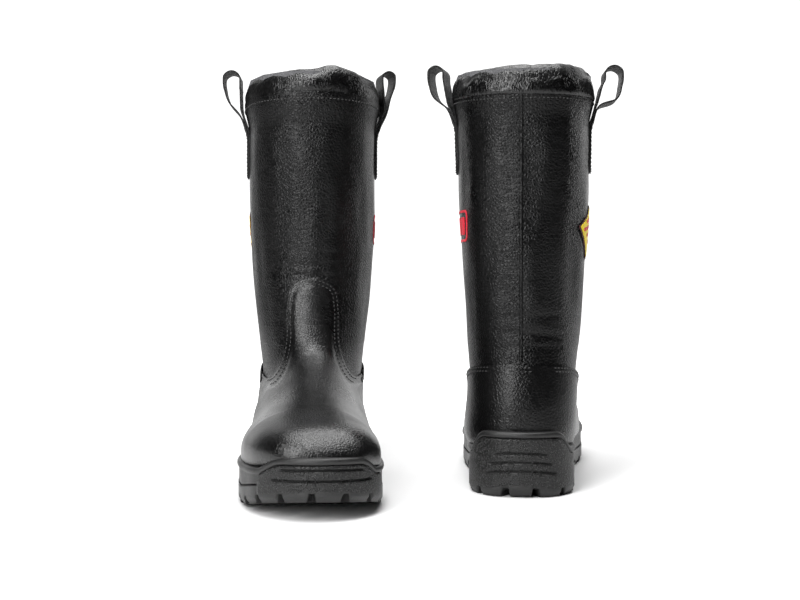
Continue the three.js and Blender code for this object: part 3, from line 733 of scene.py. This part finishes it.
for foot in FEET:
    bm = sheet(8, 200)
    for vert in bm.verts:
        across, z = vert.co.x * 2, 212 + vert.co.y * 220
        point, normal, _, _ = on_leather(foot, (across * 1.7, -200, z), (0, 1, 0), ("leg", "collar"))
        if point is None:
            point, normal = Vector((across * 1.7, -64, z)), Vector((0, -1, 0))
        vert.co = point + normal * (1.0 * (1 - across * across) - 0.25)
    welt = put(bm, foot, "back_seam", LEG, nodes=["back_seam_welt"])
    bm.free()
    tell(welt)

# %% [markdown]
# Each pull loop is one flat strap. It is sewn to the side of the leg, rises past the collar, turns over in a
# round bend and comes down again on top of itself. We draw its middle line as seen from the front, give it a
# width along y, and let the sewn part follow the leg's surface. Old loops never match, so each of the four
# has a bend of its own.

# %% The pull loops
#        middle of the bend: out from the leg, height; its radius; how far it is twisted
LOOPS = {
    ("right", "outer"): (13.6, 329.6, 6.9, 0.03),
    ("right", "inner"): (9.2, 332.2, 5.2, 0.17),
    ("left", "outer"): (15.2, 327.4, 6.1, -0.14),
    ("left", "inner"): (18.0, 324.2, 7.0, -0.08),
}
STRAP_HALF, STRAP_THICK, STRAP_END, LOOSE = 12.5, 1.6, 247, 288


def strap_line(out, top, radius):
    points = [(0.1, STRAP_END), (0.1, 262), (0.2, 276), (0.8, 286), (3.4, 295), (6.0, 304)]
    points += [((6.2 + out - radius) / 2, 315), (out - radius, top - 4)]
    points += [(out - radius * math.cos(a), top + radius * math.sin(a)) for a in (0.3, 1.0, 1.7, 2.4, 3.0)]
    points += [(out + radius - 0.9, top - 8), (out + radius - 4.6, top - 19)]
    points += [(7.4, 300), (3.4, 289), (1.5, 280), (1.3, 262), (1.3, STRAP_END)]
    return smooth_line(points, 20, 1.1) + [Vector(glide(points, len(points) - 1))]


def strap_sheet(foot, side, out, top, radius, twist):
    sign = 1 if side == "outer" else -1
    line = strap_line(out, top, radius)
    bm = sheet(len(line) - 1, 12)
    for vert in bm.verts:
        reach, z = line[round((vert.co.x + 0.5) * (len(line) - 1))]
        half = STRAP_HALF
        if z < STRAP_END + half:
            half = math.sqrt(max(0.6, half * half - (STRAP_END + half - z) ** 2))
        y = vert.co.y * 2 * half
        point, middle = on_leg(foot, sign, y, min(z, LOOSE)), on_leg(foot, sign, 0, LOOSE)
        free = ease(z, LOOSE - 6, LOOSE + 26)
        x = abs(point.x) * (1 - free) + abs(middle.x) * free + reach + free * twist * y
        vert.co = Vector((sign * x, y, z))
    bmesh.ops.recalc_face_normals(bm, faces=bm.faces)
    return bm


for (foot, side), bend in LOOPS.items():
    bm = strap_sheet(foot, side, *bend)
    body = f"{foot}_{side}_loop"
    strap = put(bm, foot, f"{side}_strap", STRAP, body=False)
    leather[foot, f"{side}_strap"] = BVHTree.FromBMesh(bm)
    bm.free()
    wall = thicken(strap, STRAP_THICK, 0.55).modifiers["thickness"]
    wall.offset = 0
    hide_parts(f"{foot}_{side}_strap_tab", f"{foot}_{side}_pull_loop")
    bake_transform(strap)
    tell(strap, "and bends between", f"{foot}_boot", "and", body)

# %% [markdown]
# The badge and the print are flat marks on the side of the leg. Each is drawn flat, cut into small faces and
# then pressed onto the leather with rays along x. The badge is a yellow kite on a darker one, and the print
# is a rounded frame. Both carry plain bars where a maker would put a name.


# %% Marks on the leather
def flat_shape(points, corner=0.0, frame_width=0.0):
    bm = bmesh.new()
    bm.faces.new([bm.verts.new((0, y, z)) for y, z in points])
    if corner:
        bmesh.ops.bevel(
            bm, geom=bm.verts[:], offset=corner, segments=5, profile=0.5, affect="VERTICES", material=-1
        )
    if frame_width:
        bmesh.ops.inset_region(
            bm, faces=bm.faces[:], thickness=frame_width, use_even_offset=True, use_boundary=True
        )
        bmesh.ops.delete(bm, geom=[max(bm.faces, key=lambda face: face.calc_area())], context="FACES")
    bmesh.ops.triangulate(bm, faces=bm.faces[:])
    for _ in range(4):
        long = [edge for edge in bm.edges if edge.calc_length() > 4]
        bmesh.ops.subdivide_edges(bm, edges=long, cuts=1, use_grid_fill=True)
        bmesh.ops.triangulate(bm, faces=bm.faces[:])
    return bm


def bar(y, z, width, height):
    corners = ((-1, -1), (1, -1), (1, 1), (-1, 1))
    return [(y + i * width / 2, z + j * height / 2) for i, j in corners]


def press(foot, name, sign, bm, lift, made, node=None):
    for vert in bm.verts:
        vert.co.x = on_leg(foot, sign, vert.co.y, vert.co.z).x + sign * lift
    bm.normal_update()
    for face in bm.faces:
        if face.normal.x * sign < 0:
            face.normal_flip()
    mark = put(bm, foot, name, made, nodes=[node] if node else [])
    bm.free()
    return thicken(mark, lift + 0.25, 0.12)


KITE = [(-15, 178), (9, 213), (-9, 222), (-34, 204)]
for foot in FEET:
    sign = 1 if foot == "right" else -1
    press(foot, "badge", sign, flat_shape(KITE, 1.2), 0.8, DARK_RED, "badge")
    inner = [(-12 + (y + 12) * 0.91, 204 + (z - 204) * 0.91) for y, z in KITE]
    press(foot, "badge_face", sign, flat_shape(inner, 1.0), 1.1, YELLOW)
    for i, (along, rise, width) in enumerate(((-1, 6, 17), (-0.5, 1, 29), (0.5, -4.5, 21), (0, -11, 9))):
        level = bar(along, rise, width, 2.6)
        tilted = [(-12 + y - 0.22 * z, 204 + z + 0.22 * y) for y, z in level]
        press(foot, f"badge_bar_{i}", sign, flat_shape(tilted, 0.5), 1.3, RED)
    frame_shape = flat_shape(bar(-12, 205, 46, 25), 5, 2.0)
    press(foot, "side_mark", -sign, frame_shape, 0.45, RED, "side_mark")
    for i, (y, width) in enumerate(((-25.5, 8), (-13, 9), (-0.5, 9))):
        press(foot, f"mark_bar_{i}", -sign, flat_shape(bar(y, 205, width, 14), 1.2), 0.45, RED)
print("badge and mark pressed on both boots")

# %% [markdown]
# The sole is moulded rubber in two parts. The outsole is the tread, its wall, and a stippled guard at the toe
# and at the heel. The midsole fills the space above it and ends in a smooth lip round the upper. Both are one
# grid wrapped round the sole's outline, so that the lip, the grooves and the gaps in the tread are all made by
# moving rows of the same sheet. The outline is a smooth closed curve, and heights along the foot are profiles.

# %% The sole's outline and profiles
SOLE = [(0, -78), (27.1, -69), (41, -42), (42, 4.4), (47.5, 50.1), (55.5, 101.6), (54.5, 144.5), (43.3, 187.4)]
SOLE += [(20, 215), (-6, 224), (-33, 214), (-48.4, 181.7), (-51.5, 130.2), (-43.5, 78.7), (-37, 33)]
SOLE += [(-39, -7.1), (-41, -42), (-27.1, -69)]
RIM = [(-83, 49), (-65, 49), (-54, 36), (4.4, 35), (61.6, 31), (101.6, 30), (153.1, 31), (180.3, 32)]
RIM += [(196, 33), (211, 42), (226, 43)]
GROUND = [(-83, 6), (-72, 0), (4.4, 0), (7.2, 12), (44.4, 9.6), (61.6, 0), (141.6, 0), (170.2, 3.4), (196, 9)]
GROUND += [(226, 14)]
SPLIT = [(-83, 21), (7.2, 21), (61.6, 14), (153.1, 14), (193.1, 21), (226, 25)]
ROUND_THE_SOLE = 660


def straight(profile, y):
    for (a, low), (b, high) in zip(profile, profile[1:]):
        if y <= b:
            return low + (high - low) * max(0, (y - a) / (b - a))
    return profile[-1][1]


@functools.lru_cache(None)
def soft(name, y):
    profile = {"rim": RIM, "ground": GROUND, "split": SPLIT}[name]
    reach = 1.2 if name == "ground" else 3.5
    return sum(straight(profile, y + reach * i / 3) for i in range(-3, 4)) / 7


def sole_outline():
    fine = [Vector(closed(SOLE, i / 6000)) for i in range(6000)]
    lengths = [0]
    for a, b in zip(fine, fine[1:] + fine[:1]):
        lengths.append(lengths[-1] + (b - a).length)
    around = lengths[-1]
    points, at = [], 0
    for i in range(ROUND_THE_SOLE):
        while lengths[at + 1] < around * i / ROUND_THE_SOLE:
            at += 1
        points.append(fine[at])
    rows = []
    for i, point in enumerate(points):
        along = points[(i + 1) % len(points)] - points[i - 1]
        rows.append((point, Vector((along.y, -along.x)).normalized(), around * i / ROUND_THE_SOLE))
    return rows, around


OUTLINE, AROUND = sole_outline()
PITCH = AROUND / 29
print("sole is", round(AROUND), "mm round, and a gap in the tread comes every", round(PITCH, 1), "mm")

# %% [markdown]
# The tread's gaps are cut across its edge at an even pitch, so that one falls at the toe's middle and two
# stand either side of the heel's. Grooves in the guards follow the ground at the toe, with ends that turn up,
# and arch over the heel. A groove is a row of points that is pushed in.

# %% Gaps, bars and grooves
TOE_GUARD, HEEL_GUARD = 190, -46
#          side of the foot, height, half width, arch
GROOVES = (
    (1, 34.0, 29, 0.9),
    (1, 26.6, 35, 0.9),
    (-1, 31.8, 20.5, 1.6),
    (-1, 24.6, 24, 2.0),
    (-1, 17.4, 27.5, 2.4),
)


def gap_at(along, inward, y):
    if 2 < y < 52:
        return 0
    from_middle = abs(((along + 4.5 * ease(y, 60, 120)) / PITCH) % 1 - 0.5) * PITCH
    return 5.8 * (1 - ease(from_middle, 2.4, 3.4)) * (1 - ease(inward, 14, 17))


def bars_at(x, y, inward):
    if 2 < y < 52:
        return 2.0 * (1 - ease(abs((y + 60) % 9 - 4.5), 1.2, 2.2)) * ease(inward, 6, 8)
    wave = (y + 5 * math.cos(x / 9) + 60) % 15
    return 4.2 * (1 - ease(abs(wave - 7.5), 2.0, 3.2)) * ease(inward, 17, 19)


def guard_at(point):
    toe = point.y - 0.15 * point.x
    return ease(toe, TOE_GUARD - 2, TOE_GUARD + 1) + 1 - ease(point.y, HEEL_GUARD - 1, HEEL_GUARD + 2)


def groove_at(point, z):
    deep = 0
    for end, height, half, arch in GROOVES:
        if point.y * end > 0 and abs(point.y) > 40:
            share = min(1, abs(point.x + (6 if end > 0 else 0)) / half)
            middle = height + arch * (1 - share * share)
            deep = max(deep, (1 - ease(abs(z - middle), 0.45, 1.05)) * (1 - ease(share, 0.94, 1)))
    return 2.0 * deep


def outsole_top(point):
    y, guard = round(point.y, 3), guard_at(point)
    return soft("split", y) * (1 - guard) + (soft("rim", y) - 5) * guard


# %% [markdown]
# The outsole is one sheet: rows under the foot that start at a line down its middle, rows up the wall and a
# few that turn in on top, where the midsole covers them. Each row asks the helpers above how high or how deep
# it should be. Faces are given one of four finishes by where they lie, one of them painted shade for the
# grooves and hollows, and the sheet is closed by merging the points along the middle line.

# %% Wrap the outsole
UNDER, WALL = 52, 50  # rows under the foot, and rows up the wall
# the last of these finishes is painted shade, for faces deep in the grooves and hollows
PLAIN, STIPPLED, UNDERFOOT, PAINTED_SHADE_SLOT = range(4)  # the outsole's finishes


def outsole_point(column, row):
    edge, out, along = OUTLINE[column % ROUND_THE_SOLE]
    y = round(edge.y, 3)
    if row <= UNDER:
        spine = Vector((2.5 if 60 < y < 190 else 0, min(178, max(-42, y))))
        share = row / UNDER
        flat = spine.lerp(edge - out * 2.2, share)
        inward = (edge - flat).length
        z = soft("ground", round(flat.y, 2)) + max(gap_at(along, inward, y), bars_at(flat.x, flat.y, inward))
        return Vector((flat.x, flat.y, z))
    bottom, top = soft("ground", y), outsole_top(edge)
    low = bottom + gap_at(along, 0, y)
    if row >= UNDER + WALL - 2:
        step = row - (UNDER + WALL - 2)
        flat = edge - out * (0.9, 3.0, 7.0)[step]
        return Vector((flat.x, flat.y, top - (0.05, 0, 0.6)[step]))
    share = (row - UNDER) / (WALL - 3)
    z = low + (top - low) * share
    inset = 2.2 * (1 - ease(z - bottom, 0, 4.5)) + 0.7 * ease(z, top - 0.9, top)
    inset += 0.9 * (1 - guard_at(edge)) + groove_at(edge, z) * guard_at(edge)
    flat = edge - out * inset
    return Vector((flat.x, flat.y, z))


def wrap_sole(point_at, rows):
    bm = sheet(ROUND_THE_SOLE, rows)
    row_of = {}
    for vert in bm.verts:
        column, row = round((vert.co.x + 0.5) * ROUND_THE_SOLE), round((0.5 - vert.co.y) * rows)
        row_of[vert] = row
        vert.co = point_at(column, row)
    return bm, row_of


for foot in FEET:
    bm, row_of = wrap_sole(outsole_point, UNDER + WALL)
    # faces deep in the tread's gaps and in the guards' grooves get the painted shade finish
    for face in bm.faces:
        middle = face.calc_center_median()
        rows = [row_of[vert] for vert in face.verts]
        low = soft("ground", round(middle.y, 2))
        on_wall = UNDER < min(rows) < UNDER + WALL - 3
        if max(rows) <= UNDER:
            face.material_index = PAINTED_SHADE_SLOT if middle.z - low > 1.2 else UNDERFOOT
        elif on_wall and guard_at(middle) > 0.5 and middle.z > low + 6.5:
            face.material_index = PAINTED_SHADE_SLOT if groove_at(middle, middle.z) > 0.5 else STIPPLED
    bmesh.ops.remove_doubles(bm, verts=[vert for vert, row in row_of.items() if row == 0], dist=0.6)
    bmesh.ops.remove_doubles(bm, verts=bm.verts, dist=0.002)
    under = [face for face in bm.faces if face.material_index >= UNDERFOOT and face.calc_center_median().z < 20]
    if sum(face.normal.z for face in under) > 0:
        bmesh.ops.reverse_faces(bm, faces=bm.faces)
    outsole = put(bm, foot, "outsole", [RUBBER, GUARD, TREAD, PAINTED_SHADE], nodes=["outsole"])
    bm.free()
    tell(outsole)

# %% [markdown]
# The midsole starts just above the outsole, a hair behind it, so a fine dark line parts the two. Its lip is
# rounded and runs in until it meets the leather. Rays find how far that is at each place, because the upper
# isn't exactly as wide as the sole.

# %% Wrap the midsole
LIP = ((-5.0, 1.6), (-4.4, 0.9), (-3.8, 0.25), (-2.8, 0.0), (-1.6, 0.1), (-0.6, 0.6), (-0.1, 1.3), (0.1, 2.2))
SIDE_ROWS = 8


def leather_gap(foot, column):
    edge, out, _ = OUTLINE[column % ROUND_THE_SOLE]
    start = edge + out * 10
    hit = on_leather(foot, (start.x, start.y, soft("rim", round(edge.y, 3)) + 0.3), (-out.x, -out.y, 0))
    return hit[3] - 10 if hit[0] else 6


for foot in FEET:
    gaps = [max(2.6, leather_gap(foot, column)) for column in range(ROUND_THE_SOLE)]

    def midsole_point(column, row):
        edge, out, _ = OUTLINE[column % ROUND_THE_SOLE]
        y = round(edge.y, 3)
        guard, bottom, rim = guard_at(edge), outsole_top(edge) + 0.35, soft("rim", y)
        lip_low = max(bottom + 0.05, rim - 5.2)
        if row == 0:
            inset, z = 7, bottom
        elif row <= SIDE_ROWS:
            share = (row - 1) / SIDE_ROWS
            z = bottom + (lip_low - bottom) * share
            inset = 1.25 + 0.8 * (1 - ease(share, 0, 0.12)) + 0.2 * math.sin(math.pi * share) * (1 - guard)
        elif row <= SIDE_ROWS + len(LIP):
            rise, inset = LIP[row - SIDE_ROWS - 1]
            z = max(lip_low, rim + rise)
        else:
            inset, z = gaps[column % ROUND_THE_SOLE] + 1.6, rim + 0.2
        flat = edge - out * inset
        return Vector((flat.x, flat.y, z))

    bm, _ = wrap_sole(midsole_point, SIDE_ROWS + len(LIP) + 1)
    bmesh.ops.remove_doubles(bm, verts=bm.verts, dist=0.002)
    top = [face for face in bm.faces if abs(face.normal.z) > 0.9 and face.calc_center_median().z > 28]
    if sum(face.normal.z for face in top) < 0:
        bmesh.ops.reverse_faces(bm, faces=bm.faces)
    midsole = put(bm, foot, "midsole", RUBBER, nodes=["midsole"])
    bm.free()
    tell(midsole, "and a lip of", round(min(gaps), 1), "to", round(max(gaps), 1), "mm")

# %% [markdown]
# Every seam is sewn with thick thread. A stitch is a small rounded grain laid along the seam and half sunk in
# the leather. Rows of them run inside the tongue's edge, along the top of the heel patch, under the collar
# and round the loops' sewn ends. One icosphere of a few faces is enough for each, because there are hundreds.


# %% Sew
def stitches(bm, spots, length=2.4, width=0.55):
    gone = place = 0
    for (a, normal), (b, _) in zip(spots, spots[1:]):
        step = (b - a).length
        if step > 6:
            continue
        while gone + step >= place:
            share = (place - gone) / step if step else 0
            spot, along = a.lerp(b, share), (b - a).normalized()
            across = normal.cross(along).normalized()
            turn = Matrix((along, across, along.cross(across))).transposed().to_4x4()
            turn.translation = spot + normal * 0.12
            shape = turn @ Matrix.Diagonal((length / 2, width, width * 0.8, 1))
            bmesh.ops.create_icosphere(bm, subdivisions=1, radius=1, matrix=shape)
            place += length + 0.9
        gone += step


def spots_of(foot, starts, towards, names):
    hits = [on_leather(foot, start, towards, names) for start in starts]
    return [(point, normal) for point, normal, _, _ in hits if point is not None]


for foot in FEET:
    bm = bmesh.new()
    for distance in (1.7, 4.5):
        row = [(p.x, 300, p.y) for p in TONGUE.moved(distance, 2) if abs(p.x) < 45]
        stitches(bm, spots_of(foot, row, (0, -1, 0), ("vamp",)))
        for sign in (1, -1):
            row = [(sign * 200, p.x, p.y) for p in PATCH.moved(distance, 2) if -58 < p.x < 10]
            stitches(bm, spots_of(foot, row, (-sign, 0, 0), ("patch",)))
        level = 98 - distance
        back = [(math.sin(a / 40) * 200, -60 - math.cos(a / 40) * 200, level) for a in range(-34, 35)]
        row = [on_leather(foot, start, (-start[0], -60 - start[1], 0), ("patch",)) for start in back]
        stitches(bm, [hit[:2] for hit in row if hit[0]])
    rounds = [leather_point(foot, 0.86, a * math.pi / 180, -0.1) for a in range(-176, 177, 2)]
    outward = [Vector((p.x, p.y, 0)).normalized() for p in rounds]
    stitches(bm, list(zip(rounds, outward)))
    for sign, side in ((1, "outer"), (-1, "inner")):
        half = STRAP_HALF - 2.6
        trace = [(half, 284 - i) for i in range(26)]
        trace += [(half * math.cos(a / 10), 259 - half * math.sin(a / 10)) for a in range(0, 32)]
        trace += [(-half, 259 + i) for i in range(26)] + [(-half + i, 284) for i in range(0, round(2 * half))]
        starts = [(sign * 200, y, z) for y, z in trace]
        hits = spots_of(foot, starts, (-sign, 0, 0), (f"{side}_strap",))
        outward = Vector((sign, 0, 0))
        stitches(bm, [(point + outward * 0.7, outward) for point, _ in hits], width=0.35)
    bmesh.ops.recalc_face_normals(bm, faces=bm.faces)
    thread = put(bm, foot, "stitching", STITCH_AND_GLINT)
    bm.free()
    tell(thread)

# %% [markdown]
# The camera stands a metre in front of the boots at half their height and looks nearly level, as a catalogue
# shows footwear. A lens of medium length at that distance keeps the toe from looking too big.

# %% The camera
camera = stand("camera", bpy.data.cameras.new("camera"))
camera.data.lens, camera.data.sensor_width, camera.data.clip_start = 55.35, 36, 0.01
camera.location = (-0.0125, -1.016, 0.163)
camera.rotation_euler = (math.radians(90 - 0.96), 0, 0)
bpy.context.scene.camera = camera
print("camera at", tuple(round(c, 3) for c in camera.location))

# %% [markdown]
# The floor is a sheet of matt white paper. It takes the boots' soft shadows close by. Further off, only the
# camera sees it glow, so that it fades into the white of the room with no horizon, while the leather still
# reflects plain paper.

# %% The floor
bm = sheet(4, 4, 6)
floor = stand("floor", bpy.data.meshes.new("floor"))
bm.to_mesh(floor.data)
bm.free()
paper = finish_of("pale floor", (0.86, 0.86, 0.86), (0.88, 0.88, 0.88), (0.7, 0.8), wear=0.1, size=400)
paper_nodes = paper.node_tree
middle = add(paper_nodes, "ShaderNodeTexCoord").outputs["Object"]
away = add(paper_nodes, "ShaderNodeVectorMath", [(0, middle)], operation="LENGTH").outputs["Value"]
seen = add(paper_nodes, "ShaderNodeLightPath").outputs["Is Camera Ray"]
glow = maths(paper_nodes, "MULTIPLY", seen, spread(paper_nodes, away, 0.2, 0.55, 0.0, 1.0))
paper_inputs = paper_nodes.nodes["Principled BSDF"].inputs
paper_nodes.links.new(glow, paper_inputs["Emission Strength"])
paper_inputs["Emission Color"].default_value = (1, 1, 1, 1)
floor.data.materials.append(paper)
print("floor:", floor.name)

# %% [markdown]
# The room is white to the camera but dim to the leather, because black leather shows what it reflects. Only
# the wall behind the boots is bright, which draws a thin light rim down each side of a leg.

# %% The room
world = bpy.data.worlds.new("room")
bpy.context.scene.world = world
world.use_nodes = True
around = world.node_tree
background = around.nodes["Background"]
seen = add(around, "ShaderNodeLightPath").outputs["Is Camera Ray"]
towards = add(around, "ShaderNodeTexCoord").outputs["Generated"]
behind = add(around, "ShaderNodeSeparateXYZ", [("Vector", towards)]).outputs["Y"]
wall = spread(around, behind, 0.35, 0.95, 0.012, 1.3)
around.links.new(maths(around, "MAXIMUM", seen, wall), background.inputs["Strength"])
background.inputs["Color"].default_value = (1, 1, 1, 1)
print("room:", world.name)

# %% [markdown]
# Four soft boxes light the boots. A tall one on the left draws the long band down each leg, a small one high
# in front shines on the throat and the toe, a large one overhead lights the floor and the top of the foot, and
# a narrow one at the right rear widens the rim on that side.


# %% The lamps
def lamp(name, at, towards, size, power):
    data = bpy.data.lights.new(name, "AREA")
    data.shape, data.size, data.size_y, data.energy = "RECTANGLE", size[0], size[1], power
    made = stand(name, data)
    made.location = at
    made.rotation_euler = (Vector(towards) - Vector(at)).to_track_quat("-Z", "Y").to_euler()


lamp("key", (-0.5, -0.86, 0.6), (-0.03, 0, 0.2), (0.34, 1.0), 12)
lamp("front top", (-0.115, -0.56, 1.25), (-0.08, -0.1, 0.1), (0.15, 0.3), 4.8)
lamp("top", (0.06, 0.02, 1.6), (0.04, 0, 0), (1.1, 1.3), 30)
lamp("right rim", (1.3, 0.9, 0.6), (0, 0, 0.15), (0.2, 1.1), 2.6)
bpy.context.scene.view_settings.view_transform = "Standard"

# %% [markdown]
# Some solids are right as they are: the steel cap and shank, the boards, the felt and the foam. They keep
# their shape and only get a finish, because they show when the boot is opened up.

# %% Finish the solids
KEPT = {
    "puncture_plate": STEEL, "shank": STEEL, "steel_toe_cap": STEEL, "insole_board": BOARD,
    "footbed": KNIT, "vamp_interlining": FELT, "toe_cap_edge_strip": FELT, "collar_foam": FELT,
    "heel_stiffener": BOARD, "lining": KNIT, "collar_cover": SOFT, "outsole": GUARD, "midsole": RUBBER,
}
for node, made in frame["nodes"].items():
    for place in made.material_slots:
        place.material = KEPT.get(node.split("_", 1)[1], STRAP)
